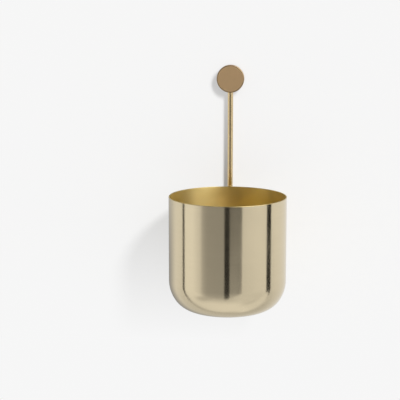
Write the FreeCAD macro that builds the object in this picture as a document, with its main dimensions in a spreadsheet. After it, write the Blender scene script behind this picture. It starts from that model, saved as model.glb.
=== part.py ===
import FreeCAD, Part
import math
import os
import re
import Sketcher

# Hanging wall vase: a spun brass cup on a round rod, hung from one wall screw by a round disc.
# Millimetres. +Z is up and the front faces -Y. The wall is the plane y = 0.
# The origin is on the wall, where the wall screw sits once the vase is hung on it.
# Names that end in depth are distances out from the wall, towards -Y.
# Names that end in level are distances down from the origin, and in drop from the disc's centre.

os.makedirs("parts", exist_ok=True)
doc = FreeCAD.newDocument("hanging_wall_vase")

UPWARD = FreeCAD.Vector(0, 0, 1)
OUTWARD = FreeCAD.Vector(0, -1, 0)
NEAR = 0.001

DRIVING_SIZES = (
    # Disc on the wall
    ("disc_diameter", 30.0),
    ("disc_thickness", 8.0),
    ("disc_face_chamfer", 0.6),
    ("disc_back_chamfer", 0.3),
    ("pad_thickness", 1.0),
    ("pad_border", 0.8),
    ("pad_gap", 0.5),
    # Keyhole plate in the back of the disc, and the room for the wall screw's head behind it
    ("hang_rise", 3.0),
    ("screw_travel", 6.0),
    ("entry_diameter", 9.0),
    ("slot_width", 4.6),
    ("plate_thickness", 1.5),
    ("plate_edge", 0.5),
    ("head_room_depth", 4.4),
    ("head_room_gap", 0.3),
    ("head_room_wall", 0.9),
    # Two countersunk screws of the plate
    ("plate_screw_diameter", 2.0),
    ("plate_screw_head", 3.8),
    ("plate_screw_length", 5.0),
    ("plate_screw_slot", 0.5),
    # Rod and the spigot that fixes it in the disc
    ("rod_diameter", 6.0),
    ("spigot_diameter", 4.0),
    ("spigot_wall", 1.4),
    ("shoulder_depth", 1.0),
    ("rod_end_chamfer", 0.4),
    # Cup
    ("rim_drop", 118.5),
    ("cup_diameter", 125.0),
    ("cup_height", 122.0),
    ("sheet", 1.0),
    ("rim_edge_chamfer", 0.3),
    ("knuckle_wall_radius", 36.0),
    ("knuckle_foot_radius", 26.0),
    ("knuckle_split_angle", 36.0),
    # Saddles between the rod and the cup
    ("saddle_diameter", 9.0),
    ("saddle_web", 1.5),
    ("saddle_groove", 1.5),
    # Two button-head screws from inside the cup into the rod
    ("upper_screw_below_rim", 32.0),
    ("screw_pitch", 33.0),
    ("cup_screw_diameter", 3.0),
    ("cup_screw_head", 5.7),
    ("cup_screw_head_height", 1.65),
    ("cup_screw_crown", 1.2),
    ("socket_width", 2.0),
    ("socket_depth", 1.0),
    ("screw_engagement", 4.0),
    ("screw_tip_chamfer", 0.3),
    ("washer_diameter", 7.0),
    ("washer_thickness", 0.5),
    ("seal_diameter", 8.0),
    ("seal_thickness", 1.0),
    # Rubber cap on the rod's lower end
    ("cap_grip", 10.0),
    ("cap_end_thickness", 2.0),
    ("cap_edge_radius", 1.2),
    ("cap_lip_chamfer", 0.4),
    # Clearances
    ("fit", 0.05),
    ("hole_gap", 0.1),
    ("cap_gap", 0.3),
    ("tip_gap", 0.4),
    ("overrun", 1.0),
)

WORKED_OUT_SIZES = (
    ("disc_radius", "=disc_diameter / 2"),
    ("rod_radius", "=rod_diameter / 2"),
    ("spigot_radius", "=spigot_diameter / 2"),
    ("cup_radius", "=cup_diameter / 2"),
    ("entry_radius", "=entry_diameter / 2"),
    ("slot_radius", "=slot_width / 2"),
    ("plate_screw_radius", "=plate_screw_diameter / 2"),
    ("plate_head_radius", "=plate_screw_head / 2"),
    ("cup_screw_radius", "=cup_screw_diameter / 2"),
    ("cup_head_radius", "=cup_screw_head / 2"),
    ("washer_radius", "=washer_diameter / 2"),
    ("seal_radius", "=seal_diameter / 2"),
    ("saddle_radius", "=saddle_diameter / 2"),
    ("socket_corner", "=socket_width / sqrt(3)"),
    # Depths out from the wall
    ("plate_front_depth", "=pad_thickness + plate_thickness"),
    ("disc_face_depth", "=pad_thickness + disc_thickness"),
    ("rod_axis_depth", "=pad_thickness + disc_thickness / 2"),
    ("rod_front_depth", "=rod_axis_depth + rod_radius"),
    ("cup_back_depth", "=rod_front_depth + saddle_web"),
    ("cup_axis_depth", "=cup_back_depth + cup_radius"),
    ("cup_inside_depth", "=cup_back_depth + sheet"),
    ("seal_face_depth", "=cup_inside_depth + seal_thickness"),
    ("washer_face_depth", "=seal_face_depth + washer_thickness"),
    ("screw_tip_depth", "=rod_front_depth - screw_engagement"),
    ("screw_head_depth", "=washer_face_depth + cup_screw_head_height"),
    # Keyhole, measured from the disc's centre
    ("entry_drop", "=screw_travel - hang_rise"),
    ("head_room_radius", "=entry_radius + head_room_gap"),
    ("plate_screw_spread", "=head_room_radius + head_room_wall + plate_head_radius"),
    ("plate_radius", "=plate_screw_spread + plate_head_radius + plate_edge"),
    ("plate_seat_radius", "=plate_radius + hole_gap"),
    ("plate_cone", "=plate_head_radius - plate_screw_radius"),
    ("plate_tip_depth", "=pad_thickness + plate_screw_length"),
    ("pad_inner_radius", "=plate_radius + pad_gap"),
    ("pad_outer_radius", "=disc_radius - pad_border"),
    # Rod, measured down from the disc's centre
    ("spigot_tip_drop", "=entry_drop + head_room_radius + spigot_wall"),
    ("shoulder_drop", "=disc_radius - shoulder_depth"),
    ("upper_screw_drop", "=rim_drop + upper_screw_below_rim"),
    ("lower_screw_drop", "=upper_screw_drop + screw_pitch"),
    ("knuckle_inset", "=knuckle_wall_radius * (1 - cos(knuckle_split_angle))"
                      " + knuckle_foot_radius * cos(knuckle_split_angle)"),
    ("knuckle_height", "=knuckle_wall_radius * sin(knuckle_split_angle)"
                       " + knuckle_foot_radius * (1 - sin(knuckle_split_angle))"),
    ("straight_wall", "=cup_height - knuckle_height"),
    ("cap_room", "=max(0; rod_axis_depth - rod_radius - saddle_web + cap_gap)"),
    ("cap_top_drop", "=rim_drop + straight_wall"
                     " + sqrt(knuckle_wall_radius ^ 2 - (knuckle_wall_radius - cap_room) ^ 2)"),
    ("rod_end_drop", "=cap_top_drop + cap_grip"),
    ("cap_end_drop", "=rod_end_drop + cap_end_thickness"),
    # Levels down from the origin
    ("rim_level", "=hang_rise + rim_drop"),
    ("upper_screw_level", "=hang_rise + upper_screw_drop"),
    ("lower_screw_level", "=hang_rise + lower_screw_drop"),
)


def write_sizes():
    """Puts every named size in one spreadsheet: plain driving sizes, then those worked out."""
    cells = doc.addObject("Spreadsheet::Sheet", "Sizes")
    for row, (name, content) in enumerate(DRIVING_SIZES + WORKED_OUT_SIZES, start=1):
        cells.set("A%d" % row, name)
        cells.set("B%d" % row, str(content))
        cells.setAlias("B%d" % row, name)
    doc.recompute()
    return cells


sizes = write_sizes()


def number(text):
    """Value of an expression written in named sizes."""
    return float(sizes.evalExpression(text))


def bound(text):
    """The same expression as the document's other objects write it, with the sheet's name."""
    return re.sub("[a-z_]+", lambda word: "Sizes." + word.group(), text)


def new_body(name, depth=None, level=None, aside=None):
    """Empty body, placed out from the wall by depth, down by level and to the right by aside."""
    body = doc.addObject("PartDesign::Body", name)
    body.Label = name
    place_at(body, depth, level, aside)
    return body


def place_at(thing, depth=None, level=None, aside=None):
    """Binds an object's place to named sizes."""
    if aside:
        thing.setExpression("Placement.Base.x", bound(aside))
    if depth:
        thing.setExpression("Placement.Base.y", bound("-(%s)" % depth))
    if level:
        thing.setExpression("Placement.Base.z", bound("-(%s)" % level))


def new_sketch(body, name, role, offset=None):
    """Sketch on one of the body's own origin planes, moved along its normal by offset."""
    sketch = body.newObject("Sketcher::SketchObject", name)
    plane = [feature for feature in body.Origin.OriginFeatures if feature.Role == role][0]
    sketch.AttachmentSupport = [(plane, "")]
    sketch.MapMode = "FlatFace"
    if offset:
        sketch.setExpression("AttachmentOffset.Base.z", bound(offset))
    return sketch


def dimension(sketch, name, expression, *constraint):
    """Adds a dimension with a name of its own and binds it to the named sizes."""
    index = sketch.addConstraint(Sketcher.Constraint(*constraint))
    sketch.renameConstraint(index, name)
    sketch.setExpression("Constraints." + name, bound(expression))


def pin(sketch, curve, point, right, up):
    """Fixes a sketch point by its two coordinates, each an expression or 0."""
    tag = "_%d_%d" % (curve, point)
    if right == "0":
        sketch.addConstraint(Sketcher.Constraint("PointOnObject", curve, point, -2))
    else:
        dimension(sketch, "right" + tag, right, "DistanceX", -1, 1, curve, point, number(right))
    if up == "0":
        sketch.addConstraint(Sketcher.Constraint("PointOnObject", curve, point, -1))
    else:
        dimension(sketch, "up" + tag, up, "DistanceY", -1, 1, curve, point, number(up))


def draw_outline(sketch, corners):
    """Closed outline of straight sides through corners given as pairs of expressions."""
    places = [FreeCAD.Vector(number(right), number(up), 0) for right, up in corners]
    count = len(places)
    for index, place in enumerate(places):
        sketch.addGeometry(Part.LineSegment(place, places[(index + 1) % count]), False)
    for index in range(count):
        joined = Sketcher.Constraint("Coincident", index, 2, (index + 1) % count, 1)
        sketch.addConstraint(joined)
    for index, (right, up) in enumerate(corners):
        pin(sketch, index, 1, right, up)


def draw_circle(sketch, radius, right="0", up="0"):
    """Circle with its centre at the given place."""
    centre = FreeCAD.Vector(number(right), number(up), 0)
    curve = sketch.addGeometry(Part.Circle(centre, UPWARD, number(radius)), False)
    pin(sketch, curve, 3, right, up)
    dimension(sketch, "radius_%d" % curve, radius, "Radius", curve, number(radius))


def draw_upright_slot(sketch, radius, top, bottom):
    """Slot with round ends whose centres lie on the upright axis, at top and bottom."""
    half = number(radius)
    across = FreeCAD.Vector(half, 0, 0)
    high = FreeCAD.Vector(0, number(top), 0)
    low = FreeCAD.Vector(0, number(bottom), 0)
    upper_end = Part.ArcOfCircle(Part.Circle(high, UPWARD, half), 0, math.pi)
    lower_end = Part.ArcOfCircle(Part.Circle(low, UPWARD, half), math.pi, 2 * math.pi)
    sketch.addGeometry(upper_end, False)
    sketch.addGeometry(Part.LineSegment(high - across, low - across), False)
    sketch.addGeometry(lower_end, False)
    sketch.addGeometry(Part.LineSegment(low + across, high + across), False)
    for first, second in ((0, 1), (1, 2), (2, 3), (3, 0)):
        sketch.addConstraint(Sketcher.Constraint("Tangent", first, 2, second, 1))
    sketch.addConstraint(Sketcher.Constraint("Equal", 0, 2))
    pin(sketch, 0, 3, "0", top)
    pin(sketch, 2, 3, "0", bottom)
    dimension(sketch, "radius", radius, "Radius", 0, half)


def turn(body, name, role, corners):
    """Solid turned about the sketch's upright axis from half of its outline."""
    sketch = new_sketch(body, name + "_outline", role)
    draw_outline(sketch, corners)
    return revolve(body, name, sketch)


def revolve(body, name, sketch):
    """Full turn of a sketch about its own upright axis."""
    turned = body.newObject("PartDesign::Revolution", name)
    turned.Profile = sketch
    turned.ReferenceAxis = (sketch, ["V_Axis"])
    turned.Angle = 360
    doc.recompute()
    return turned


def cut(body, name, sketch, length=None, forward=False, both_ways=False):
    """Pocket from a sketch, against its normal or forward along it; with no length, right through."""
    before = body.Shape.Volume
    pocket = body.newObject("PartDesign::Pocket", name)
    pocket.Profile = sketch
    pocket.Reversed = forward
    pocket.SideType = "Symmetric" if both_ways else "One side"
    if length:
        pocket.setExpression("Length", bound(length))
    else:
        pocket.Type = "ThroughAll"
    doc.recompute()
    if not body.Shape.Volume < before:
        raise RuntimeError("%s cuts nothing from %s" % (name, body.Label))
    return pocket


def round_edges(body, axis, *places):
    """Names of round edges of the body's last feature, from their radius and place along an axis."""
    wanted = [(number(radius), number(place)) for radius, place in places]
    names = []
    for index, edge in enumerate(body.Tip.Shape.Edges, start=1):
        curve = edge.Curve
        if curve.TypeId != "Part::GeomCircle":
            continue
        for radius, place in wanted:
            if abs(curve.Radius - radius) < NEAR and abs(curve.Center.dot(axis) - place) < NEAR:
                names.append("Edge%d" % index)
    if len(names) < len(wanted):
        raise RuntimeError("%s has %d of the edges %s" % (body.Label, len(names), places))
    return names


def dress(body, kind, name, edges, size):
    """Fillet or Chamfer on edges of the body's last feature."""
    base = body.Tip
    feature = body.newObject("PartDesign::" + kind, name)
    feature.Base = (base, edges)
    feature.setExpression("Radius" if kind == "Fillet" else "Size", bound(size))
    doc.recompute()
    return feature


def upright_cylinder(name, radius, height, depth, level):
    """Plain cylinder that stands on the given level."""
    plain = doc.addObject("Part::Cylinder", name)
    plain.setExpression("Radius", bound(radius))
    plain.setExpression("Height", bound(height))
    place_at(plain, depth, level)
    return plain


def outward_cylinder(name, radius, height, level, depth=None):
    """Plain cylinder that points away from the wall, from the wall itself or from the given depth."""
    plain = upright_cylinder(name, radius, height, depth, level)
    plain.Placement.Rotation = FreeCAD.Rotation(UPWARD, OUTWARD)
    return plain


def combine(kind, name, base, tool):
    """Boolean of two objects, such as Part::Cut."""
    result = doc.addObject(kind, name)
    result.Base = base
    result.Tool = tool
    result.Label = name
    return result


def group(name, members):
    """Identical pieces that share one node as separate solids."""
    together = doc.addObject("Part::Compound", name)
    together.Links = members
    together.Label = name
    return together


def make_wall_disc():
    """Turned puck with a seat for the plate, room for the wall screw's head and a socket for the rod."""
    body = new_body("wall_disc", level="hang_rise")
    turn(body, "puck", "XY_Plane", (
        ("0", "-plate_front_depth"),
        ("plate_seat_radius", "-plate_front_depth"),
        ("plate_seat_radius", "-pad_thickness"),
        ("disc_radius", "-pad_thickness"),
        ("disc_radius", "-disc_face_depth"),
        ("0", "-disc_face_depth"),
    ))
    face_edge = round_edges(body, OUTWARD, ("disc_radius", "disc_face_depth"))
    dress(body, "Chamfer", "face_edge", face_edge, "disc_face_chamfer")
    back_edge = round_edges(body, OUTWARD, ("disc_radius", "pad_thickness"))
    dress(body, "Chamfer", "back_edge", back_edge, "disc_back_chamfer")

    head_room = new_sketch(body, "head_room_outline", "XZ_Plane", "plate_front_depth")
    draw_upright_slot(head_room, "head_room_radius", "hang_rise", "-entry_drop")
    cut(body, "head_room", head_room, "head_room_depth", forward=True)

    pilots = new_sketch(body, "pilot_hole_outline", "XZ_Plane", "plate_front_depth")
    for side in ("plate_screw_spread", "-plate_screw_spread"):
        draw_circle(pilots, "plate_screw_radius + fit", side)
    cut(body, "pilot_holes", pilots, "plate_screw_length - plate_thickness + tip_gap", forward=True)

    below = "-(disc_radius + overrun)"
    seat = new_sketch(body, "shoulder_seat_outline", "XY_Plane", below)
    draw_circle(seat, "rod_radius + fit", up="-rod_axis_depth")
    cut(body, "shoulder_seat", seat, "overrun + shoulder_depth", forward=True)
    socket = new_sketch(body, "spigot_socket_outline", "XY_Plane", below)
    draw_circle(socket, "spigot_radius + fit", up="-rod_axis_depth")
    cut(body, "spigot_socket", socket, "disc_radius + overrun - spigot_tip_drop + tip_gap", forward=True)
    return body


def make_wall_pad():
    """Soft ring between the disc and the wall, open over the keyhole plate."""
    body = new_body("wall_pad", level="hang_rise")
    turn(body, "ring", "XY_Plane", (
        ("pad_inner_radius", "0"),
        ("pad_outer_radius", "0"),
        ("pad_outer_radius", "-pad_thickness"),
        ("pad_inner_radius", "-pad_thickness"),
    ))
    return body


def make_keyhole_plate():
    """Steel plate with the entry hole, the slot above it and two countersunk screw holes."""
    body = new_body("keyhole_plate", level="hang_rise")
    turn(body, "blank", "XY_Plane", (
        ("0", "-pad_thickness"),
        ("plate_radius", "-pad_thickness"),
        ("plate_radius", "-plate_front_depth"),
        ("0", "-plate_front_depth"),
    ))
    holes = new_sketch(body, "screw_hole_outline", "XZ_Plane", "pad_thickness")
    for side in ("plate_screw_spread", "-plate_screw_spread"):
        draw_circle(holes, "plate_screw_radius + hole_gap", side)
    cut(body, "screw_holes", holes, forward=True)
    rims = round_edges(body, OUTWARD, ("plate_screw_radius + hole_gap", "pad_thickness"))
    dress(body, "Chamfer", "countersinks", rims, "plate_cone")

    slot = new_sketch(body, "slot_outline", "XZ_Plane", "pad_thickness")
    draw_upright_slot(slot, "slot_radius", "hang_rise", "-entry_drop")
    cut(body, "slot", slot, forward=True)
    entry = new_sketch(body, "entry_outline", "XZ_Plane", "pad_thickness")
    draw_circle(entry, "entry_radius", up="-entry_drop")
    cut(body, "entry", entry, forward=True)
    return body


def make_plate_screw(name, aside):
    """Small countersunk screw with a straight slot, flush with the back of the plate."""
    body = new_body(name, level="hang_rise", aside=aside)
    turn(body, name + "_blank", "XY_Plane", (
        ("0", "-pad_thickness"),
        ("plate_head_radius", "-pad_thickness"),
        ("plate_screw_radius", "-(pad_thickness + plate_cone)"),
        ("plate_screw_radius", "-plate_tip_depth"),
        ("0", "-plate_tip_depth"),
    ))
    slot = new_sketch(body, name + "_slot_outline", "XZ_Plane", "pad_thickness")
    draw_outline(slot, (
        ("-(plate_head_radius + overrun)", "-plate_screw_slot / 2"),
        ("plate_head_radius + overrun", "-plate_screw_slot / 2"),
        ("plate_head_radius + overrun", "plate_screw_slot / 2"),
        ("-(plate_head_radius + overrun)", "plate_screw_slot / 2"),
    ))
    cut(body, name + "_slot", slot, "plate_screw_slot", forward=True)
    return body


def make_hanging_rod():
    """Round rod with a thinner spigot at its top and two cross holes for the cup's screws."""
    body = new_body("hanging_rod", depth="rod_axis_depth", level="hang_rise")
    turn(body, "bar", "XZ_Plane", (
        ("0", "-spigot_tip_drop"),
        ("spigot_radius", "-spigot_tip_drop"),
        ("spigot_radius", "-shoulder_drop"),
        ("rod_radius", "-shoulder_drop"),
        ("rod_radius", "-rod_end_drop"),
        ("0", "-rod_end_drop"),
    ))
    ends = round_edges(
        body, UPWARD, ("spigot_radius", "-spigot_tip_drop"), ("rod_radius", "-rod_end_drop")
    )
    dress(body, "Chamfer", "bar_ends", ends, "rod_end_chamfer")
    holes = new_sketch(body, "cross_hole_outline", "XZ_Plane")
    for drop in ("upper_screw_drop", "lower_screw_drop"):
        draw_circle(holes, "cup_screw_radius + fit", up="-" + drop)
    cut(body, "cross_holes", holes, both_ways=True)
    return body


def make_rod_end_cap():
    """Rubber cap on the rod's lower end, wide enough to rest on the wall."""
    body = new_body("rod_end_cap", depth="rod_axis_depth", level="hang_rise")
    turn(body, "cap", "XZ_Plane", (
        ("0", "-cap_end_drop"),
        ("rod_axis_depth", "-cap_end_drop"),
        ("rod_axis_depth", "-cap_top_drop"),
        ("rod_radius + fit", "-cap_top_drop"),
        ("rod_radius + fit", "-rod_end_drop"),
        ("0", "-rod_end_drop"),
    ))
    closed_end = round_edges(body, UPWARD, ("rod_axis_depth", "-cap_end_drop"))
    dress(body, "Fillet", "closed_end", closed_end, "cap_edge_radius")
    lip = round_edges(body, UPWARD, ("rod_axis_depth", "-cap_top_drop"))
    dress(body, "Chamfer", "lip", lip, "cap_lip_chamfer")
    return body


def draw_cup_section(sketch):
    """Half section of the cup's sheet: straight wall, knuckle of two tangent arcs and flat bottom."""
    radius = number("cup_radius")
    sheet = number("sheet")
    height = number("cup_height")
    wall_end = number("straight_wall")
    wall_arc = number("knuckle_wall_radius")
    foot_arc = number("knuckle_foot_radius")
    split = math.radians(number("knuckle_split_angle"))
    flat = radius - number("knuckle_inset")
    wall_centre = FreeCAD.Vector(radius - wall_arc, -wall_end, 0)
    foot_centre = FreeCAD.Vector(flat, foot_arc - height, 0)

    def line(start, end):
        sketch.addGeometry(Part.LineSegment(FreeCAD.Vector(*start), FreeCAD.Vector(*end)), False)

    def arc(centre, size, start, end):
        circle = Part.Circle(centre, UPWARD, size)
        sketch.addGeometry(Part.ArcOfCircle(circle, start, end), False)

    line((radius, 0), (radius, -wall_end))
    arc(wall_centre, wall_arc, -split, 0)
    arc(foot_centre, foot_arc, -math.pi / 2, -split)
    line((flat, -height), (0, -height))
    line((0, -height), (0, sheet - height))
    line((0, sheet - height), (flat, sheet - height))
    arc(foot_centre, foot_arc - sheet, -math.pi / 2, -split)
    arc(wall_centre, wall_arc - sheet, -split, 0)
    line((radius - sheet, -wall_end), (radius - sheet, 0))
    line((radius - sheet, 0), (radius, 0))

    rules = (
        ("PointOnObject", 0, 1, -1), ("Vertical", 0), ("Tangent", 0, 2, 1, 2),
        ("Tangent", 1, 1, 2, 2), ("Tangent", 2, 1, 3, 1), ("Horizontal", 3),
        ("PointOnObject", 3, 2, -2), ("Coincident", 3, 2, 4, 1), ("PointOnObject", 4, 2, -2),
        ("Coincident", 4, 2, 5, 1), ("Horizontal", 5), ("Tangent", 5, 2, 6, 1),
        ("Tangent", 6, 2, 7, 1), ("Tangent", 7, 2, 8, 1), ("Vertical", 8),
        ("Coincident", 8, 2, 9, 1), ("PointOnObject", 9, 1, -1), ("Coincident", 9, 2, 0, 1),
        ("Coincident", 7, 3, 1, 3), ("Coincident", 6, 3, 2, 3),
    )
    for rule in rules:
        sketch.addConstraint(Sketcher.Constraint(*rule))
    dimension(sketch, "cup_radius", "cup_radius", "DistanceX", -1, 1, 0, 1, radius)
    dimension(sketch, "sheet", "sheet", "DistanceX", 8, 2, 0, 1, sheet)
    dimension(sketch, "cup_height", "cup_height", "DistanceY", 3, 2, -1, 1, height)
    dimension(sketch, "wall_arc", "knuckle_wall_radius", "Radius", 1, wall_arc)
    dimension(sketch, "foot_arc", "knuckle_foot_radius", "Radius", 2, foot_arc)
    dimension(sketch, "split", "knuckle_split_angle", "Angle", 1, split)


def make_cup():
    """Cup spun from one sheet, with its rim edge broken and two screw holes in its back wall."""
    body = new_body("cup", depth="cup_axis_depth", level="rim_level")
    section = new_sketch(body, "cup_section", "XZ_Plane")
    draw_cup_section(section)
    revolve(body, "cup_shell", section)
    rim = round_edges(body, UPWARD, ("cup_radius", "0"), ("cup_radius - sheet", "0"))
    dress(body, "Chamfer", "rim_edge", rim, "rim_edge_chamfer")
    holes = new_sketch(body, "screw_hole_outline", "XZ_Plane")
    for below_rim in ("upper_screw_below_rim", "(upper_screw_below_rim + screw_pitch)"):
        draw_circle(holes, "cup_screw_radius + hole_gap", up="-" + below_rim)
    cut(body, "screw_holes", holes)
    return body


def make_saddle_spacer(name, level):
    """Saddle between rod and cup: a short cylinder hollowed on one side by each of them."""
    blank = outward_cylinder(
        name + "_blank", "saddle_radius", "saddle_groove + saddle_web + overrun",
        level, "rod_front_depth - saddle_groove",
    )
    below = "%s + saddle_radius + overrun" % level
    tall = "saddle_diameter + 2 * overrun"
    rod_space = upright_cylinder(
        name + "_rod_space", "rod_radius + fit", tall, "rod_axis_depth", below
    )
    cup_space = upright_cylinder(
        name + "_cup_space", "cup_radius + fit", tall, "cup_axis_depth", below
    )
    screw_space = outward_cylinder(
        name + "_screw_space", "cup_screw_radius + hole_gap", "cup_inside_depth", level
    )
    tools = doc.addObject("Part::MultiFuse", name + "_hollows")
    tools.Shapes = [rod_space, cup_space, screw_space]
    return combine("Part::Cut", name, blank, tools)


def make_sealing_washer(name, level):
    """Rubber washer moulded to the cup's inner wall on one side and flat on the other."""
    blank = outward_cylinder(
        name + "_blank", "seal_radius", "overrun + seal_thickness",
        level, "cup_inside_depth - overrun",
    )
    cup_inside = upright_cylinder(
        name + "_cup_inside", "cup_radius - sheet - fit", "seal_diameter + 2 * overrun",
        "cup_axis_depth", "%s + seal_radius + overrun" % level,
    )
    fitted = combine("Part::Common", name + "_fitted", blank, cup_inside)
    screw_space = outward_cylinder(
        name + "_screw_space", "cup_screw_radius + fit", "seal_face_depth + overrun", level
    )
    return combine("Part::Cut", name, fitted, screw_space)


def make_screw_washer(name, level):
    """Flat steel washer between the sealing washer and the screw's head."""
    body = new_body(name, level=level)
    hole = "cup_screw_radius + hole_gap"
    turn(body, name + "_ring", "XY_Plane", (
        (hole, "-seal_face_depth"),
        ("washer_radius", "-seal_face_depth"),
        ("washer_radius", "-washer_face_depth"),
        (hole, "-washer_face_depth"),
    ))
    return body


def make_cup_screw(name, level):
    """Button-head screw with a hexagon socket, from inside the cup into the rod."""
    body = new_body(name, level=level)
    turn(body, name + "_blank", "XY_Plane", (
        ("0", "-screw_tip_depth"),
        ("cup_screw_radius", "-screw_tip_depth"),
        ("cup_screw_radius", "-washer_face_depth"),
        ("cup_head_radius", "-washer_face_depth"),
        ("cup_head_radius", "-screw_head_depth"),
        ("0", "-screw_head_depth"),
    ))
    crown = round_edges(body, OUTWARD, ("cup_head_radius", "screw_head_depth"))
    dress(body, "Chamfer", name + "_crown", crown, "cup_screw_crown")
    tip = round_edges(body, OUTWARD, ("cup_screw_radius", "screw_tip_depth"))
    dress(body, "Chamfer", name + "_tip", tip, "screw_tip_chamfer")
    socket = new_sketch(body, name + "_socket_outline", "XZ_Plane", "screw_head_depth")
    draw_outline(socket, (
        ("0", "socket_corner"),
        ("socket_width / 2", "socket_corner / 2"),
        ("socket_width / 2", "-socket_corner / 2"),
        ("0", "-socket_corner"),
        ("-socket_width / 2", "-socket_corner / 2"),
        ("-socket_width / 2", "socket_corner / 2"),
    ))
    cut(body, name + "_socket", socket, "socket_depth")
    return body


def make_pair(name, make_one, places):
    """Node of two identical fasteners, one at each place."""
    members = [make_one("%s_%d" % (name, number), place) for number, place in enumerate(places, start=1)]
    return group(name, members)


SCREW_LEVELS = ("upper_screw_level", "lower_screw_level")

NODES = [
    make_wall_disc(),
    make_wall_pad(),
    make_keyhole_plate(),
    make_pair("keyhole_plate_screws", make_plate_screw, ("plate_screw_spread", "-plate_screw_spread")),
    make_hanging_rod(),
    make_rod_end_cap(),
    make_cup(),
    make_saddle_spacer("upper_saddle_spacer", "upper_screw_level"),
    make_saddle_spacer("lower_saddle_spacer", "lower_screw_level"),
    make_pair("sealing_washers", make_sealing_washer, SCREW_LEVELS),
    make_pair("screw_washers", make_screw_washer, SCREW_LEVELS),
    make_pair("cup_screws", make_cup_screw, SCREW_LEVELS),
]


def check_model():
    """Stops if any object of the document failed or any piece is not a sound solid."""
    doc.recompute()
    for thing in doc.Objects:
        if "Invalid" in thing.State or "Error" in thing.State:
            raise RuntimeError("%s has failed" % thing.Label)
    for node in NODES:
        if node.Shape.isNull() or not node.Shape.isValid() or not node.Shape.Solids:
            raise RuntimeError("%s is not a sound solid" % node.Label)


def write_pieces():
    """Writes each piece to its own file and prints its solids, volume and size."""
    for node in NODES:
        node.Shape.exportStep("parts/%s.step" % node.Label)
        box = node.Shape.optimalBoundingBox()
        extent = " x ".join("%.1f" % length for length in (box.XLength, box.YLength, box.ZLength))
        solids = len(node.Shape.Solids)
        print("%s: %d solids, %.0f mm3, %s mm" % (node.Label, solids, node.Shape.Volume, extent))


check_model()
write_pieces()
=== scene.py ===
import math

import bmesh
import bpy
from mathutils import Euler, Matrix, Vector


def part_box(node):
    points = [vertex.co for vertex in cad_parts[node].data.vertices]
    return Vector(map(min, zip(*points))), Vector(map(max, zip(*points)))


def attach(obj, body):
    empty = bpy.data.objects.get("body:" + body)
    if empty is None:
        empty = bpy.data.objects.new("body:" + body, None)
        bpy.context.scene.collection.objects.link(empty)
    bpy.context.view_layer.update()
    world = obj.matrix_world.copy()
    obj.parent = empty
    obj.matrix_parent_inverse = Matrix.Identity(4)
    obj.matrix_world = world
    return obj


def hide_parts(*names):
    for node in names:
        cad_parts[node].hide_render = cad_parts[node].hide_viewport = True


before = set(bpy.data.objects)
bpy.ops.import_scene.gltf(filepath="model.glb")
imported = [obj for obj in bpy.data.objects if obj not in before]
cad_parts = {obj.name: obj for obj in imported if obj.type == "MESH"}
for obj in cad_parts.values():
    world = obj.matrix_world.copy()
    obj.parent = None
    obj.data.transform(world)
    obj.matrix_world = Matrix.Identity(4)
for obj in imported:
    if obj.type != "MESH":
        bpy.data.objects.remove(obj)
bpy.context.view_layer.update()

# Hanging wall vase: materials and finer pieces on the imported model, a plain wall and studio light.
# Metres and degrees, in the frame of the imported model. +Z is up, the front faces -Y, the wall is y = 0.

NEAR = 0.0000001
QUARTER_TURN = 0.25

# Cup: its sheet, its knuckle's two arcs, its rim, and how finely it is turned and its section divided
SHEET = 0.001
KNUCKLE_WALL_RADIUS = 0.036
KNUCKLE_FOOT_RADIUS = 0.026
KNUCKLE_SPLIT = 36
RIM_ROUNDING = 0.0003
# Share of the brass's brightness kept on the rim: painted shade
RIM_SHADED_SHARE = 0.7
CUP_STEPS = 240
FOOT_STEPS = 16
FOOT_ARC_STEPS = 18
WALL_ARC_STEPS = 14
WALL_STEPS = 24
RIM_STEPS = 4

# Rod and its cap. The spigot has a share of the rod's radius, and its shoulder lies inside the disc.
EDGE_ROUNDING = 0.0002
END_ROUNDING = 0.0004
SPIGOT_SHARE = 2 / 3
SHOULDER_DEPTH = 0.001
CAP_EDGE = 0.0012
CAP_DISH = 0.0004
ROD_STEPS = 48
LENGTH_STEPS = 24
CAP_STEPS = 48
CAP_EDGE_STEPS = 8
EDGE_STEPS = 3
END_STEPS = 4

# Disc: the radii between which its face gives way to the chamfered edge, and that to the side, both darker
# with painted shade
DISC_FACE_END = 0.0137
DISC_EDGE_START = 0.0142
DISC_EDGE_END = 0.0147
DISC_SIDE_START = 0.01495

# Camera, fitted to the photograph's 400 x 400 frame
CAMERA_PLACE = (0.05102, -1.400, 0.11231)
CAMERA_DOWN = 10.153
CAMERA_LEFT = 3.462
LENS = 114.885
SENSOR = 36

# Light: a soft sun from the upper right, another for the backdrop alone, and an even world.
# RIGHT and HEIGHT are how far a sun stands to the right and up for each metre in front of the wall.
SUN_RIGHT = 0.66
SUN_HEIGHT = 0.95
SUN_STRENGTH = 2.0
SUN_WIDTH = 9
WALL_SUN_RIGHT = 0.71
WALL_SUN_HEIGHT = 0.66
WALL_SUN_STRENGTH = 3.8
WALL_SUN_WIDTH = 17
WORLD_LEVEL = 0.55

# Wall and floor: their white, and the share of it that comes from the lamps, so that shadows show.
# On the wall that share grows from the disc down to the cup's rim and ends below the cup.
WHITE = 0.925
PAPER = 0.25
SHADOW_GROWTH = 1.68
SHADOW_GROWS = (-0.02, -0.12)
SHADOW_ENDS = (-0.165, -0.30)
BACKDROP_REACH = 6
BACKDROP_GAP = 0.0005

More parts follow.
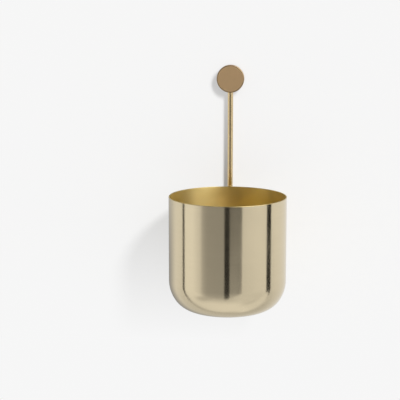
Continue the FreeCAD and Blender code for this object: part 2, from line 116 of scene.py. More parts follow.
# Studio round the vase, which only the metal's reflections see.
# Its wall and floor are divided finely where their light changes fast.
FLOOR_LEVEL = -1.1
FLOOR_FRONT = -1.4
FLOOR_FRONT_SLANT = 1.0
FLOOR_SPAN = (-3.2, 2.6)
WALL_SPAN = (-0.95, 1.3)
STUDIO_WALL_GAP = 0.0008
CEILING_LEVEL = 0.05
CEILING_REACH = 1.1
FINE_WALL = (-0.6, 0.5)
FINE_WALL_TOP = 0.2
FINE_FLOOR = -0.2
FINE_STEP = 0.02
FLOOR_STEP = 0.04
ACROSS_STEP = 0.06
LAST_ROW = 0.95

# Ring of panels: the first two heights have the high level of each direction, the others the low one.
STUDIO_RADIUS = 3.6
STUDIO_HEIGHTS = (7.4, 0.77, 0.29, -0.74, -0.82, -0.88, -0.96, -1.04, -1.12, -2.2, -3.6)
HIGH_ROWS = 2
# Direction from the front, high level, low level
STUDIO_LEVELS = (
    (-98, 0.05, 0.90), (-94.9, 0.05, 0.92), (-94.5, 0.05, 0.10),
    (-89.2, 0.05, 0.10), (-88.7, 0.05, 0.98),
    (-69, 0.05, 0.98), (-59, 0.05, 0.85), (-52, 0.05, 0.76),
    (-46.8, 0.05, 0.53), (-41.5, 0.05, 0.44),
    (-36.5, 0.05, 0.40), (-12.2, 0.05, 0.38), (-4.0, 0.05, 0.38),
    (-3.6, 0.05, 0.02), (6.1, 0.05, 0.02),
    (6.5, 0.1, 0.31), (18.2, 0.1, 0.30), (29.7, 0.2, 0.205),
    (30.3, 0.3, 0.72), (36.5, 0.8, 0.75),
    (44.5, 4.2, 0.775), (60.7, 4.5, 0.83), (82.8, 4.2, 0.84),
    (83.5, 4.0, 0.02), (96, 2.6, 0.02), (98, 2.4, 0.02),
)
# Two directions, and what the low level between them is multiplied by at each height
SHADES = (
    (-48, -3.9, (1, 1, 0.85, 0.90, 0.91, 0.92, 0.95, 1.0, 1.06, 1.25, 1.25)),
    (-3.7, 6.2, (1, 1, 1, 1, 1, 1, 1, 1.5, 2.0, 5.0, 5.0)),
    (6.2, 30.0, (1, 1, 0.3, 0.40, 0.34, 0.38, 0.80, 1.20, 1.55, 1.8, 1.8)),
)

# Light on the studio's wall: its level, and what is lost in the cup's shadow, along the wall's foot
# and low down. Pairs named ACROSS, UP or DEPTH are the middle and width of a soft band, and those named
# RISES, STARTS or ENDS are where a change begins and is complete. WALL_LOW_STARTS is measured down.
WALL_LEVEL = 0.89
CUP_SHADOW = 0.56
CUP_SHADOW_ACROSS = (-0.075, 0.07)
CUP_SHADOW_UP = (-0.24, 0.12)
WALL_FOOT = 0.4
WALL_FOOT_WIDTH = 0.05
WALL_FOOT_RISE = 0.53
WALL_FOOT_RISES = (0.08, 0.32)
WALL_FOOT_ENDS = (0.32, 0.42)
WALL_LOW = 0.11
WALL_LOW_RIGHT = 0.14
WALL_LOW_ACROSS = (0.15, 0.3)
WALL_LOW_STARTS = (0.18, 0.5)

# Light on the studio's floor: its level, and what is lost on its sides, along the wall and at its front.
# The rows of three are a loss, and how far in front of the wall it begins and is complete.
# FAR_FOOT_STARTS, FRONT_LEFT_STARTS and FRONT_LEFT_ENDS are measured to the left.
FLOOR_LIGHT = 0.95
FLOOR_RIGHT = 0.08
FLOOR_RIGHT_STARTS = (0.2, 0.7)
FLOOR_LEFT = 0.06
FLOOR_LEFT_ACROSS = (-0.8, 0.3)
FLOOR_FOOT = 0.42
FLOOR_FOOT_ENDS = (0.05, 0.3)
FLOOR_FOOT_DEPTH = (-0.04, 0.075)
FAR_FOOT = 0.35
FAR_FOOT_STARTS = (0.9, 1.3)
FRONT_IN_THE_MIDDLE = (0.22, 0.75, 1.15)
FRONT_ON_THE_LEFT = (0.30, 0.35, 0.85)
FRONT_LEFT_STARTS = (0.5, 1.0)
FRONT_LEFT_ENDS = (1.2, 1.7)
FRONT_ON_THE_RIGHT = 0.10
SEAM_PLACE = -0.62
SEAM_SLANT = 0.129
SEAM_EDGE = 0.04
SEAM_LINE = 0.12
SEAM_WIDTH = 0.06
SEAM_ENDS = (0.8, 1.6)

cup_low, cup_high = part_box("cup")
rod_low, rod_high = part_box("hanging_rod")
disc_low, disc_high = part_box("wall_disc")
cap_low, cap_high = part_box("rod_end_cap")

CUP_RADIUS = (cup_high.x - cup_low.x) / 2
CUP_HEIGHT = cup_high.z - cup_low.z
CUP_PLACE = Vector((0, (cup_low.y + cup_high.y) / 2, cup_high.z))


def points_along(start, end, steps):
    """Evenly spaced (radius, height) points on a straight line, both ends included."""
    across, up = end[0] - start[0], end[1] - start[1]
    shares = [step / steps for step in range(steps + 1)]
    return [(start[0] + across * share, start[1] + up * share) for share in shares]


def points_round(centre, radius, start, end, steps):
    """Points on an arc, its angles in degrees from the outward direction, both ends included."""
    points = []
    for step in range(steps + 1):
        angle = math.radians(start + (end - start) * step / steps)
        points.append((centre[0] + radius * math.cos(angle), centre[1] + radius * math.sin(angle)))
    return points


def joined(*runs):
    """One list of points from several runs, without the doubled points where they meet."""
    points = []
    for run in runs:
        for point in run:
            if not points or math.dist(points[-1], point) > NEAR:
                points.append(point)
    return points


def link(mesh, name, place=(0, 0, 0)):
    """Object for a mesh, in the scene."""
    piece = bpy.data.objects.new(name, mesh)
    piece.location = place
    bpy.context.scene.collection.objects.link(piece)
    return piece


def lathe(name, profile, steps, place, slots=None):
    """Piece turned from (radius, height) points about local Z; slots has a material slot for each run."""
    shape = bmesh.new()
    rings = []
    for radius, height in profile:
        turns = steps if radius > NEAR else 1
        angles = [2 * math.pi * turn / turns for turn in range(turns)]
        places = [(radius * math.cos(angle), radius * math.sin(angle), height) for angle in angles]
        rings.append([shape.verts.new(corner) for corner in places])
    for index, (one, other) in enumerate(zip(rings, rings[1:])):
        for turn in range(steps):
            corners = [one[turn % len(one)], one[(turn + 1) % steps % len(one)],
                       other[(turn + 1) % steps % len(other)], other[turn % len(other)]]
            face = shape.faces.new(list(dict.fromkeys(corners)))
            face.smooth = True
            face.material_index = slots[index] if slots else 0
    bmesh.ops.recalc_face_normals(shape, faces=shape.faces)
    mesh = bpy.data.meshes.new(name)
    shape.to_mesh(mesh)
    shape.free()
    piece = link(mesh, name, place)
    weighted = piece.modifiers.new("flat_faces_stay_flat", "WEIGHTED_NORMAL")
    weighted.keep_sharp = True
    return piece


def belongs(piece, material_slot, *nodes):
    """Puts a piece on the vase's one body, in place of CAD nodes. The material_slot argument is not used.
    """
    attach(piece, "root")
    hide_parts(*nodes)


def shaded(colour, share):
    """The same colour at a share of its brightness."""
    return tuple(channel * share for channel in colour)


class Finish:
    """Material with one main shader, and short ways to add its texture nodes."""

    def __init__(self, name, **values):
        self.material = bpy.data.materials.new(name)
        self.material.use_nodes = True
        self.tree = self.material.node_tree
        self.shader = self.tree.nodes["Principled BSDF"]
        for socket, value in values.items():
            self.shader.inputs[socket.replace("_", " ")].default_value = value

    def add(self, kind, output, values=None, **settings):
        """Adds a node and gives back one of its outputs; a value that is an output is linked."""
        node = self.tree.nodes.new("ShaderNode" + kind)
        for key, value in settings.items():
            setattr(node, key, value)
        for socket, value in (values or {}).items():
            self.set(node.inputs[socket], value)
        return node.outputs[output]

    def set(self, socket, value):
        """Links an output to a socket, or gives the socket a value of its own."""
        if isinstance(value, bpy.types.NodeSocket):
            self.tree.links.new(value, socket)
        else:
            socket.default_value = value

    def place(self):
        """Coordinates of the point in the piece's own frame."""
        return self.add("TexCoord", "Object")

    def calculate(self, operation, *values):
        """Result of one operation on outputs and numbers."""
        return self.add("Math", 0, dict(enumerate(values)), operation=operation)

    def noise(self, place, scale, detail=2.0, roughness=0.5):
        """Soft noise from 0 to 1, stretched by the three scales, which are per metre."""
        stretched = self.add("VectorMath", 0, {0: place, 1: scale}, operation="MULTIPLY")
        values = {"Vector": stretched, "Scale": 1.0, "Detail": detail, "Roughness": roughness}
        return self.add("TexNoise", 0, values)

    def along_sheet(self, place):
        """Point with its third coordinate measured along the spun sheet, from the rim to the foot."""
        split = self.tree.nodes.new("ShaderNodeSeparateXYZ")
        self.set(split.inputs[0], place)
        across = self.add("CombineXYZ", 0, {0: split.outputs[0], 1: split.outputs[1]})
        radius = self.add("VectorMath", "Value", {0: across}, operation="LENGTH")
        down = self.calculate("ADD", split.outputs[2], radius)
        return self.add("CombineXYZ", 0, {0: split.outputs[0], 1: split.outputs[1], 2: down})

    def from_axis(self, place, low, high):
        """Distance from the front-to-back axis through the middle of a box."""
        split = self.tree.nodes.new("ShaderNodeSeparateXYZ")
        self.set(split.inputs[0], place)
        right = self.calculate("SUBTRACT", split.outputs[0], (low.x + high.x) / 2)
        above = self.calculate("SUBTRACT", split.outputs[2], (low.z + high.z) / 2)
        across = self.add("CombineXYZ", 0, {0: right, 1: above})
        return self.add("VectorMath", "Value", {0: across}, operation="LENGTH")

    def mixed(self, factor, one, other):
        """One colour turning into another as the factor goes from 0 to 1."""
        node = self.tree.nodes.new("ShaderNodeMix")
        node.data_type = "RGBA"
        for socket, value in ((0, factor), (6, one), (7, other)):
            self.set(node.inputs[socket], value)
        return node.outputs[2]

    def tinted(self, noise, colour, dark, light, start=0.3, end=0.7):
        """The colour at one share where the noise is low, turning into another where it is high."""
        node = self.tree.nodes.new("ShaderNodeValToRGB")
        self.set(node.inputs[0], noise)
        for stop, spot, share in zip(node.color_ramp.elements, (start, end), (dark, light)):
            stop.position = spot
            stop.color = (*shaded(colour, share), 1)
        return node.outputs[0]

    def between(self, factor, low, high, start=0.0, end=1.0):
        """Number from low to high as the factor goes from start to end."""
        values = {0: factor, 1: start, 2: end, 3: low, 4: high}
        return self.add("MapRange", 0, values)

    def colour(self, value):
        """Sets the surface's own colour."""
        self.set(self.shader.inputs["Base Color"], value)

    def roughness(self, value):
        """Sets how dull the surface is, from 0 to 1."""
        self.set(self.shader.inputs["Roughness"], value)

    def bump(self, *heights, distance):
        """Adds relief from one or more heights from 0 to 1, over the given distance in metres."""
        total = heights[0]
        for height in heights[1:]:
            total = self.calculate("ADD", total, height)
        values = {"Height": total, "Distance": distance, "Strength": 1.0}
        self.set(self.shader.inputs["Normal"], self.add("Bump", 0, values))

    def brushed_round(self):
        """Turns the grain's stretched highlight across a brushing that runs round the piece."""
        tangent = self.add("Tangent", 0, direction_type="RADIAL", axis="Z")
        self.set(self.shader.inputs["Tangent"], tangent)
        self.shader.inputs["Anisotropic Rotation"].default_value = QUARTER_TURN


def cup_outside_finish():
    """Pale lacquered brass, finely brushed round the cup."""
    brass = (0.705, 0.606, 0.42)
    finish = Finish("brushed_pale_brass", Metallic=1.0, Anisotropic=0.8)
    sheet = finish.along_sheet(finish.place())
    grain = finish.noise(sheet, (60, 60, 2600), detail=3)
    ripple = finish.noise(sheet, (220, 220, 700), detail=2)
    streaks = finish.noise(sheet, (30, 30, 1300), detail=2)
    clouds = finish.noise(sheet, (22, 22, 30), detail=2)
    smudges = finish.noise(sheet, (90, 90, 420), detail=4, roughness=0.6)
    clean = finish.tinted(streaks, brass, 0.98, 1.01)
    smudged = finish.between(smudges, 0, 1, 0.66, 0.80)
    finish.colour(finish.mixed(smudged, clean, (*shaded(brass, 0.90), 1)))
    finish.roughness(finish.between(clouds, 0.13, 0.17, 0.35, 0.65))
    finish.bump(grain, finish.calculate("MULTIPLY", ripple, 3.0), distance=0.000003)
    finish.brushed_round()
    return finish.material


def cup_inside_finish(name, share):
    """Golden satin brass, left as it was spun, at a share of its full brightness; a share below 1 is
    painted shade.
    """
    brass = shaded((0.80, 0.645, 0.275), share)
    finish = Finish(name, Metallic=1.0, Anisotropic=0.4)
    sheet = finish.along_sheet(finish.place())
    rings = finish.noise(sheet, (14, 14, 1500), detail=3)
    clouds = finish.noise(sheet, (30, 30, 40), detail=3)
    finish.colour(finish.tinted(clouds, brass, 0.92, 1))
    finish.roughness(finish.between(clouds, 0.36, 0.42, 0.35, 0.65))
    finish.bump(rings, distance=0.000006)
    finish.brushed_round()
    return finish.material


def rod_finish():
    """Satin golden brass with faint drawing lines along its length."""
    brass = (0.81, 0.63, 0.36)
    finish = Finish("satin_drawn_brass", Metallic=1.0, Anisotropic=0.2)
    place = finish.place()
    lines = finish.noise(place, (3500, 3500, 40), detail=2)
    clouds = finish.noise(place, (120, 120, 60), detail=3)
    finish.colour(finish.tinted(clouds, brass, 0.93, 1.02))
    finish.roughness(finish.between(clouds, 0.20, 0.25, 0.35, 0.65))
    finish.bump(lines, distance=0.0000008)
    return finish.material


def disc_finish():
    """Matt bronzed brass with a fine grain, with painted shade making its side darker and its chamfered
    edge darkest.
    """
    bronze = (0.79, 0.54, 0.295)
    finish = Finish("matt_bronzed_brass", Metallic=1.0)
    place = finish.place()
    grain = finish.noise(place, (3000, 3000, 3000), detail=2)
    clouds = finish.noise(place, (150, 150, 150), detail=3)
    radius = finish.from_axis(place, disc_low, disc_high)
    rim = finish.between(radius, 0, 1, DISC_FACE_END, DISC_EDGE_START)
    beyond = finish.between(radius, 0, 1, DISC_EDGE_END, DISC_SIDE_START)
    face = finish.tinted(clouds, bronze, 0.98, 1.015)
    # Painted shade: darker copies of the bronze on the chamfered edge and the side.
    edge = finish.tinted(clouds, bronze, 0.36, 0.44)
    side = finish.tinted(clouds, bronze, 0.50, 0.58)
    finish.colour(finish.mixed(rim, face, finish.mixed(beyond, edge, side)))
    finish.roughness(finish.between(rim, 0.45, 0.50))
    finish.bump(grain, distance=0.000003)
    return finish.material


def steel_finish():
    """Zinc-plated steel with a faint spangle."""
    steel = (0.60, 0.61, 0.62)
    finish = Finish("zinc_plated_steel", Metallic=1.0)
    place = finish.place()
    spangle = finish.noise(place, (900, 900, 900), detail=3)
    grain = finish.noise(place, (4000, 4000, 4000), detail=1)
    finish.colour(finish.tinted(spangle, steel, 0.9, 1.05))
    finish.roughness(finish.between(spangle, 0.28, 0.40, 0.35, 0.65))
    finish.bump(grain, distance=0.000004)
    return finish.material


def rubber_finish():
    """Moulded matt black rubber with a dusty bloom."""
    rubber = (0.030, 0.030, 0.032)
    finish = Finish("moulded_rubber")
    place = finish.place()
    bloom = finish.noise(place, (500, 500, 500), detail=4)
    grain = finish.noise(place, (5000, 5000, 5000), detail=2)
    finish.colour(finish.tinted(bloom, rubber, 1, 1.9, 0.35, 0.75))
    finish.roughness(finish.between(bloom, 0.55, 0.72, 0.3, 0.7))
    finish.bump(grain, distance=0.00002)
    return finish.material


def felt_finish():
    """Pressed grey felt with short tangled fibres."""
    felt = (0.17, 0.165, 0.155)
    finish = Finish("pressed_felt", Roughness=0.95, Sheen_Weight=0.35, Sheen_Roughness=0.5)
    place = finish.place()
    fibres = finish.noise(place, (2600, 900, 2600), detail=5, roughness=0.7)
    tufts = finish.noise(place, (700, 700, 700), detail=3)
    finish.colour(finish.tinted(fibres, felt, 0.6, 1.5))
    finish.bump(fibres, tufts, distance=0.00012)
    return finish.material


def knuckle_reach():
    """How far the two arcs of the knuckle reach inward from the wall, and up from the foot."""
    split = math.radians(KNUCKLE_SPLIT)
    inward = (KNUCKLE_WALL_RADIUS * (1 - math.cos(split))
              + KNUCKLE_FOOT_RADIUS * math.cos(split))
    upward = (KNUCKLE_WALL_RADIUS * math.sin(split)
              + KNUCKLE_FOOT_RADIUS * (1 - math.sin(split)))
    return inward, upward


def cup_face(inset):
    """Half section of one face of the cup's sheet, from the middle of the foot up to the rim."""
    inward, upward = knuckle_reach()
    flat = CUP_RADIUS - inward
    wall = CUP_RADIUS - inset
    foot = inset - CUP_HEIGHT
    wall_end = upward - CUP_HEIGHT
    foot_centre = (flat, KNUCKLE_FOOT_RADIUS - CUP_HEIGHT)
    wall_centre = (CUP_RADIUS - KNUCKLE_WALL_RADIUS, wall_end)
    return joined(
        points_along((0, foot), (flat, foot), FOOT_STEPS),
        points_round(foot_centre, KNUCKLE_FOOT_RADIUS - inset, -90, -KNUCKLE_SPLIT, FOOT_ARC_STEPS),
        points_round(wall_centre, KNUCKLE_WALL_RADIUS - inset, -KNUCKLE_SPLIT, 0, WALL_ARC_STEPS),
        points_along((wall, wall_end), (wall, -RIM_ROUNDING), WALL_STEPS),
    )


def make_cup():
    """Spun cup with a rounded rim edge; slots 0, 1 and 2 are its outside, inside and rim, the rim's brass
    darkened as painted shade.
    """
    outside = cup_face(0)
    inner = cup_face(SHEET)[::-1]
    outer_edge = (CUP_RADIUS - RIM_ROUNDING, -RIM_ROUNDING)
    inner_edge = (CUP_RADIUS - SHEET + RIM_ROUNDING, -RIM_ROUNDING)
    rim = joined(
        points_round(outer_edge, RIM_ROUNDING, 0, 90, RIM_STEPS),
        points_round(inner_edge, RIM_ROUNDING, 90, 180, RIM_STEPS),
    )
    slots = [0] * (len(outside) - 1) + [2] * (len(rim) - 1) + [1] * (len(inner) - 1)
    cup = lathe("cup_shell", joined(outside, rim, inner), CUP_STEPS, CUP_PLACE, slots=slots)
    inside = cup_inside_finish("golden_satin_brass", 1.0)
    # The rim's brass is the inside's at a lower share: painted shade.
    edge = cup_inside_finish("brass_rim_painted_shade", RIM_SHADED_SHARE)
    for material in (cup_outside_finish(), inside, edge):
        cup.data.materials.append(material)
    belongs(cup, "cup_brass", "cup")


def make_rod(material):
    """Round rod with softened ends, its spigot inside the disc."""
    radius = (rod_high.x - rod_low.x) / 2
    axis = Vector((0, (rod_low.y + rod_high.y) / 2, rod_high.z))
    spigot = radius * SPIGOT_SHARE
    shoulder = disc_low.z - rod_high.z + SHOULDER_DEPTH
    neck = shoulder - EDGE_ROUNDING
    end = rod_low.z - rod_high.z
    last = end + END_ROUNDING
    profile = joined(
        [(0, 0)],
        points_round((spigot - EDGE_ROUNDING, -EDGE_ROUNDING), EDGE_ROUNDING, 90, 0, EDGE_STEPS),
        [(spigot, shoulder)],
        points_round((radius - EDGE_ROUNDING, neck), EDGE_ROUNDING, 90, 0, EDGE_STEPS),
        points_along((radius, neck), (radius, last), LENGTH_STEPS),
        points_round((radius - END_ROUNDING, last), END_ROUNDING, 0, -90, END_STEPS),
        [(0, end)],
    )
    rod = lathe("rod_bar", profile, ROD_STEPS, axis)
    rod.data.materials.append(material)
    belongs(rod, "rod_brass", "hanging_rod")


def make_rod_cap(material):
    """Moulded cap with a rounded closed end and a shallow dish in it."""
    radius = (cap_high.x - cap_low.x) / 2
    bore = (rod_high.x - rod_low.x) / 2
    height = cap_high.z - cap_low.z
    floor = rod_low.z - cap_low.z
    place = Vector((0, (cap_low.y + cap_high.y) / 2, cap_low.z))
    profile = joined(
        [(0, CAP_DISH), (radius / 2, CAP_DISH / 2)],
        points_round((radius - CAP_EDGE, CAP_EDGE), CAP_EDGE, -90, 0, CAP_EDGE_STEPS),
        points_round((radius - END_ROUNDING, height - END_ROUNDING), END_ROUNDING, 0, 90, END_STEPS),
        points_round((bore + EDGE_ROUNDING, height - EDGE_ROUNDING), EDGE_ROUNDING, 90, 180, EDGE_STEPS),
        [(bore, floor), (0, floor)],
    )
    cap = lathe("rod_cap", profile, CAP_STEPS, place)
    cap.data.materials.append(material)
    belongs(cap, "black_rubber", "rod_end_cap")


def paint_node(node, material):
    """Gives a CAD node that stays in view its material."""
    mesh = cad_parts[node].data
    mesh.materials.clear()
    mesh.materials.append(material)


def make_vase():
    """All pieces and materials of the vase."""
    make_cup()
    brass = rod_finish()
    rubber = rubber_finish()
    steel = steel_finish()
    make_rod(brass)
    make_rod_cap(rubber)
    paint_node("wall_disc", disc_finish())
    paint_node("wall_pad", felt_finish())
    paint_node("sealing_washers", rubber)
    for node in ("upper_saddle_spacer", "lower_saddle_spacer"):
        paint_node(node, brass)
    for node in ("keyhole_plate", "keyhole_plate_screws", "screw_washers", "cup_screws"):
        paint_node(node, steel)


def sheet_mesh(name, rows, levels=None):
    """Mesh of quads from rows of points of equal number, with a light level for each point."""
    width = len(rows[0])
    faces = []
    for row in range(len(rows) - 1):
        for column in range(width - 1):
            corner = row * width + column
            faces.append((corner, corner + 1, corner + width + 1, corner + width))
    mesh = bpy.data.meshes.new(name)
    mesh.from_pydata([point for row in rows for point in row], [], faces)
    if levels:
        level = mesh.attributes.new("level", "FLOAT", "POINT")
        level.data.foreach_set("value", [value for row in levels for value in row])
    return mesh


def seen_only_by(piece, *rays):
    """Hides a stage piece from every kind of ray but these."""
    for ray in ("camera", "diffuse", "glossy", "transmission", "volume_scatter", "shadow"):
        setattr(piece, "visible_" + ray, ray in rays)


def light_on(facing):
    """Light that the suns and the even world throw on a plane: 1 makes white paper look white."""
    total = WORLD_LEVEL
    for strength, right, height in (
        (SUN_STRENGTH, SUN_RIGHT, SUN_HEIGHT),
        (WALL_SUN_STRENGTH, WALL_SUN_RIGHT, WALL_SUN_HEIGHT),
    ):
        towards_sun = Vector((right, -1, height)).normalized()
        total += strength * towards_sun.dot(facing) / math.pi
    return total


def paper_material(name, facing, catches=None):
    """Plain white, seen from its front only, so that the vase also shows from behind.

    The share that catches the lamps' light is paper, and a glow fills the rest up to white.
    """
    finish = Finish(name, Roughness=1.0, Specular_IOR_Level=0.0, Emission_Color=(1, 1, 1, 1))
    paper = catches(finish) if catches else PAPER
    filled = finish.calculate("MULTIPLY", paper, light_on(facing))
    finish.colour(finish.add("CombineXYZ", 0, {0: paper, 1: paper, 2: paper}))
    finish.set(finish.shader.inputs["Emission Strength"], finish.calculate("SUBTRACT", WHITE, filled))
    behind = finish.add("NewGeometry", "Backfacing")
    clear = finish.add("BsdfTransparent", 0)
    mixed = finish.add("MixShader", 0, {0: behind, 1: finish.shader.outputs[0], 2: clear})
    finish.set(finish.tree.nodes["Material Output"].inputs["Surface"], mixed)
    finish.material.cycles.emission_sampling = "NONE"
    return finish.material


def wall_catches(finish):
    """Paper's share on the wall, by height."""
    split = finish.tree.nodes.new("ShaderNodeSeparateXYZ")
    finish.set(split.inputs[0], finish.place())
    grown = finish.between(split.outputs[2], 1, SHADOW_GROWTH, *SHADOW_GROWS)
    left = finish.between(split.outputs[2], PAPER, 0, *SHADOW_ENDS)
    return finish.calculate("MULTIPLY", grown, left)


def glow_material():
    """Light of the level kept in the mesh."""
    finish = Finish("panel_light")
    level = finish.add("Attribute", "Fac", attribute_name="level")
    glow = finish.add("Emission", 0, {"Strength": level})
    finish.set(finish.tree.nodes["Material Output"].inputs["Surface"], glow)
    finish.material.cycles.emission_sampling = "NONE"
    return finish.material


def make_backdrop():
    """The wall and floor that the camera sees."""
    far = BACKDROP_REACH
    back = BACKDROP_GAP
    level = FLOOR_LEVEL
    wall_rows = [[(-far, back, far), (far, back, far)], [(-far, back, level), (far, back, level)]]
    floor_rows = [[(-far, back, level), (far, back, level)], [(-far, -far, level), (far, -far, level)]]
    backdrop = []
    for name, rows, facing, catches in (
        ("wall", wall_rows, Vector((0, -1, 0)), wall_catches),
        ("floor", floor_rows, Vector((0, 0, 1)), None),
    ):
        piece = link(sheet_mesh(name, rows), name)
        if piece.data.polygons[0].normal.dot(facing) < 0:
            piece.data.flip_normals()
        piece.data.materials.append(paper_material(name + "_paper", facing, catches))
        seen_only_by(piece, "camera")
        backdrop.append(piece)
    return backdrop


def bell(place, middle, width):
    """Smooth hump, 1 at its middle."""
    return math.exp(-0.5 * ((place - middle) / width) ** 2)


def risen(place, start, end):
    """0 before the start, 1 after the end, and smooth between them."""
    share = min(1, max(0, (place - start) / (end - start)))
    return share * share * (3 - 2 * share)


def wall_level(x, z):
    """The wall's light as the metal sees it: darker in the cup's shadow and towards the floor."""
    shadow = CUP_SHADOW * bell(x, *CUP_SHADOW_ACROSS) * bell(z, *CUP_SHADOW_UP)
    line = FLOOR_LEVEL + WALL_FOOT_RISE * risen(x, *WALL_FOOT_RISES)
    foot = WALL_FOOT * bell(z, line, WALL_FOOT_WIDTH) * (1 - risen(x, *WALL_FOOT_ENDS))
    low = risen(-z, *WALL_LOW_STARTS) * (WALL_LOW + WALL_LOW_RIGHT * bell(x, *WALL_LOW_ACROSS))
    return WALL_LEVEL - max(shadow, foot, low)


def left_front(x, y):
    """What the floor's light loses towards its front, from the middle to the left."""
    leftward = risen(-x, *FRONT_LEFT_STARTS)
    pairs = zip(FRONT_IN_THE_MIDDLE, FRONT_ON_THE_LEFT)
    loss, start, end = [middle + (left - middle) * leftward for middle, left in pairs]
    return loss * risen(-y, start, end) * (1 - risen(-x, *FRONT_LEFT_ENDS))


def right_front(x, y):
    """What the floor's light loses on the right, in front of a slanting seam and along it."""
    seam = SEAM_PLACE + SEAM_SLANT * x
    beyond = FRONT_ON_THE_RIGHT * risen(seam - y, -SEAM_EDGE, SEAM_EDGE)
    return beyond + SEAM_LINE * bell(y, seam, SEAM_WIDTH) * (1 - risen(x, *SEAM_ENDS))


def floor_level(x, y):
    """The floor's light as the metal sees it: darker on its sides, along the wall and at its front."""
    rightward = risen(x, *FLOOR_RIGHT_STARTS)
    sides = FLOOR_RIGHT * rightward + FLOOR_LEFT * bell(x, *FLOOR_LEFT_ACROSS)
    near = FLOOR_FOOT * (1 - risen(x, *FLOOR_FOOT_ENDS))
    foot = (near + FAR_FOOT * risen(-x, *FAR_FOOT_STARTS)) * bell(y, *FLOOR_FOOT_DEPTH)
    front = left_front(x, y) * (1 - rightward) + right_front(x, y) * rightward
    return FLOOR_LIGHT - sides - max(foot, front)


def floor_front(x):
    """Where the floor that the metal sees ends."""
    return FLOOR_FRONT - FLOOR_FRONT_SLANT * max(0, x)


def ring_level(index, high, low, azimuth):
    """Light of one point of the ring of panels, at the height of that index."""
    if index < HIGH_ROWS:
        return high
    for start, end, shares in SHADES:
        if start < azimuth < end:
            return low * shares[index]
    return low


def steps_between(start, end, size):
    """Evenly spaced places from start to end, about the given size apart."""
    count = max(1, round(abs(end - start) / size))
    return [start + (end - start) * step / count for step in range(count + 1)]


def lit_sheet(name, rows, levels):
    """Stage piece that gives light of the level at each of its points."""
    return link(sheet_mesh(name, rows, levels), name)


def make_panels():
    """Ring of light and dark panels round the vase."""
    rows = []
    levels = []
    for index, z in enumerate(STUDIO_HEIGHTS):
        row = []
        for azimuth, _, _ in STUDIO_LEVELS:
            angle = math.radians(azimuth)
            row.append((STUDIO_RADIUS * math.sin(angle), CUP_PLACE.y - STUDIO_RADIUS * math.cos(angle), z))
        rows.append(row)
        levels.append([ring_level(index, high, low, azimuth) for azimuth, high, low in STUDIO_LEVELS])
    return lit_sheet("studio_panels", rows, levels)


def make_studio_wall():
    """The wall that the metal reflects."""
    across = [WALL_SPAN[0]] + steps_between(*FINE_WALL, FINE_STEP) + [WALL_SPAN[1]]
    heights = [STUDIO_HEIGHTS[0]] + steps_between(FINE_WALL_TOP, FLOOR_LEVEL, FINE_STEP)
    rows = [[(x, STUDIO_WALL_GAP, z) for x in across] for z in heights]
    levels = [[wall_level(x, z) for x in across] for z in heights]
    return lit_sheet("studio_wall", rows, levels)


def make_studio_floor():
    """The floor that the metal reflects."""
    across = steps_between(*FLOOR_SPAN, ACROSS_STEP)
    depths = steps_between(0, FINE_FLOOR, FINE_STEP)
    depths += steps_between(FINE_FLOOR - FLOOR_STEP, LAST_ROW * FLOOR_FRONT, FLOOR_STEP)
    rows = [[(x, depth, FLOOR_LEVEL) for x in across] for depth in depths]
    rows.append([(x, floor_front(x), FLOOR_LEVEL) for x in across])
    levels = [[floor_level(x, depth) for x, depth, _ in row] for row in rows]
    return lit_sheet("studio_floor", rows, levels)


def make_ceiling():
    """The dim ceiling that the metal reflects."""
    far = CEILING_REACH * STUDIO_RADIUS
    top = STUDIO_HEIGHTS[0]
    rows = [[(-far, -far, top), (far, -far, top)], [(-far, far, top), (far, far, top)]]
    levels = [[CEILING_LEVEL, CEILING_LEVEL], [CEILING_LEVEL, CEILING_LEVEL]]
    return lit_sheet("studio_ceiling", rows, levels)


def make_studio():
    """All that the metal reflects of the studio."""
    pieces = [make_panels(), make_studio_wall(), make_studio_floor(), make_ceiling()]
    light = glow_material()
    for piece in pieces:
        piece.data.materials.append(light)
        seen_only_by(piece, "glossy")


def make_sun(name, strength, width, right, height):
    """Sun this far to the right and this high for each metre in front of the wall."""
    sun = bpy.data.lights.new(name, "SUN")
    sun.energy = strength
    sun.angle = math.radians(width)
    lamp = bpy.data.objects.new(name, sun)
    towards = Vector((-right, 1, -height))
    lamp.rotation_euler = towards.to_track_quat("-Z", "Y").to_euler()
    bpy.context.scene.collection.objects.link(lamp)
    return lamp


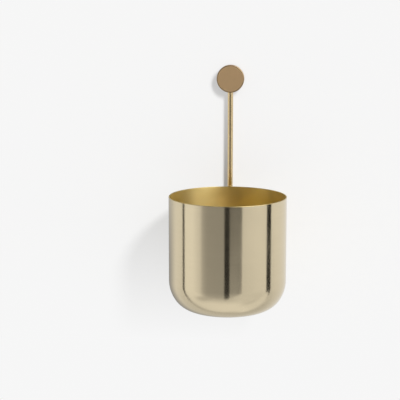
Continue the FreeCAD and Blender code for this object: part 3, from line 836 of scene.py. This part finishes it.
def gathered(name, pieces):
    """Group of pieces that a lamp lights or is stopped by."""
    group = bpy.data.collections.new(name)
    for piece in pieces:
        group.objects.link(piece)
    return group


def make_light(backdrop):
    """Soft sun from the upper right, and one for the backdrop that only rod, disc and felt ring shade."""
    make_sun("key", SUN_STRENGTH, SUN_WIDTH, SUN_RIGHT, SUN_HEIGHT)
    lamp = make_sun("wall_key", WALL_SUN_STRENGTH, WALL_SUN_WIDTH, WALL_SUN_RIGHT, WALL_SUN_HEIGHT)
    lamp.light_linking.receiver_collection = gathered("lit_backdrop", backdrop)
    near_wall = [bpy.data.objects["rod_bar"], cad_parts["wall_disc"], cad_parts["wall_pad"]]
    lamp.light_linking.blocker_collection = gathered("near_wall", near_wall)


def make_world():
    """Even light from all round, which the camera sees as white."""
    world = bpy.data.worlds.new("studio_light")
    bpy.context.scene.world = world
    world.use_nodes = True
    world.cycles.sampling_method = "NONE"
    nodes, links = world.node_tree.nodes, world.node_tree.links
    even = nodes["Background"]
    even.inputs["Strength"].default_value = WORLD_LEVEL
    even.inputs["Color"].default_value = (1, 1, 1, 1)
    white = nodes.new("ShaderNodeBackground")
    white.inputs["Color"].default_value = (WHITE, WHITE, WHITE, 1)
    rays = nodes.new("ShaderNodeLightPath")
    mixed = nodes.new("ShaderNodeMixShader")
    links.new(rays.outputs["Is Camera Ray"], mixed.inputs[0])
    links.new(even.outputs[0], mixed.inputs[1])
    links.new(white.outputs[0], mixed.inputs[2])
    links.new(mixed.outputs[0], nodes["World Output"].inputs["Surface"])


def make_camera():
    """Camera at the photograph's place and angle."""
    camera = bpy.data.cameras.new("camera")
    camera.lens = LENS
    camera.sensor_width = SENSOR
    viewer = bpy.data.objects.new("camera", camera)
    viewer.location = CAMERA_PLACE
    viewer.rotation_euler = Euler((math.radians(90 - CAMERA_DOWN), 0, math.radians(CAMERA_LEFT)))
    bpy.context.scene.collection.objects.link(viewer)
    bpy.context.scene.camera = viewer


make_vase()
make_studio()
make_light(make_backdrop())
make_world()
make_camera()
bpy.context.scene.view_settings.view_transform = "Standard"
